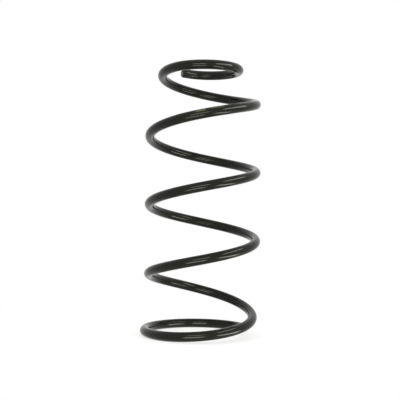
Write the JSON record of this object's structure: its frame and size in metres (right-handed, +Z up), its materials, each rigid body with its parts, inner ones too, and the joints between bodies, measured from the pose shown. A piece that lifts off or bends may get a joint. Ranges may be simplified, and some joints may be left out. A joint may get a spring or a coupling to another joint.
{
  "type": "suspension spring",
  "caption": "Black coated steel coil spring for a car's strut, with a flat lower end turn, open body turns and a small upper end turn.",
  "frame": {"origin": "centre of the lower seat turn, on the plane that the seat turn rests on", "axes": "+Z up along the coil's axis, towards the small upper turn. The coil climbs anticlockwise seen from above (right-handed), and the lower wire end lies 24 degrees from +X towards +Y. The body's axis bows a few millimetres towards +X, and the small turn's lies 1 mm towards +X."},
  "size_m": [0.1602, 0.156, 0.366],
  "materials": {
    "black_coating": "gloss"
  },
  "bodies": {
    "root": {"coil_spring": "black_coating"}
  },
  "joints": []
}
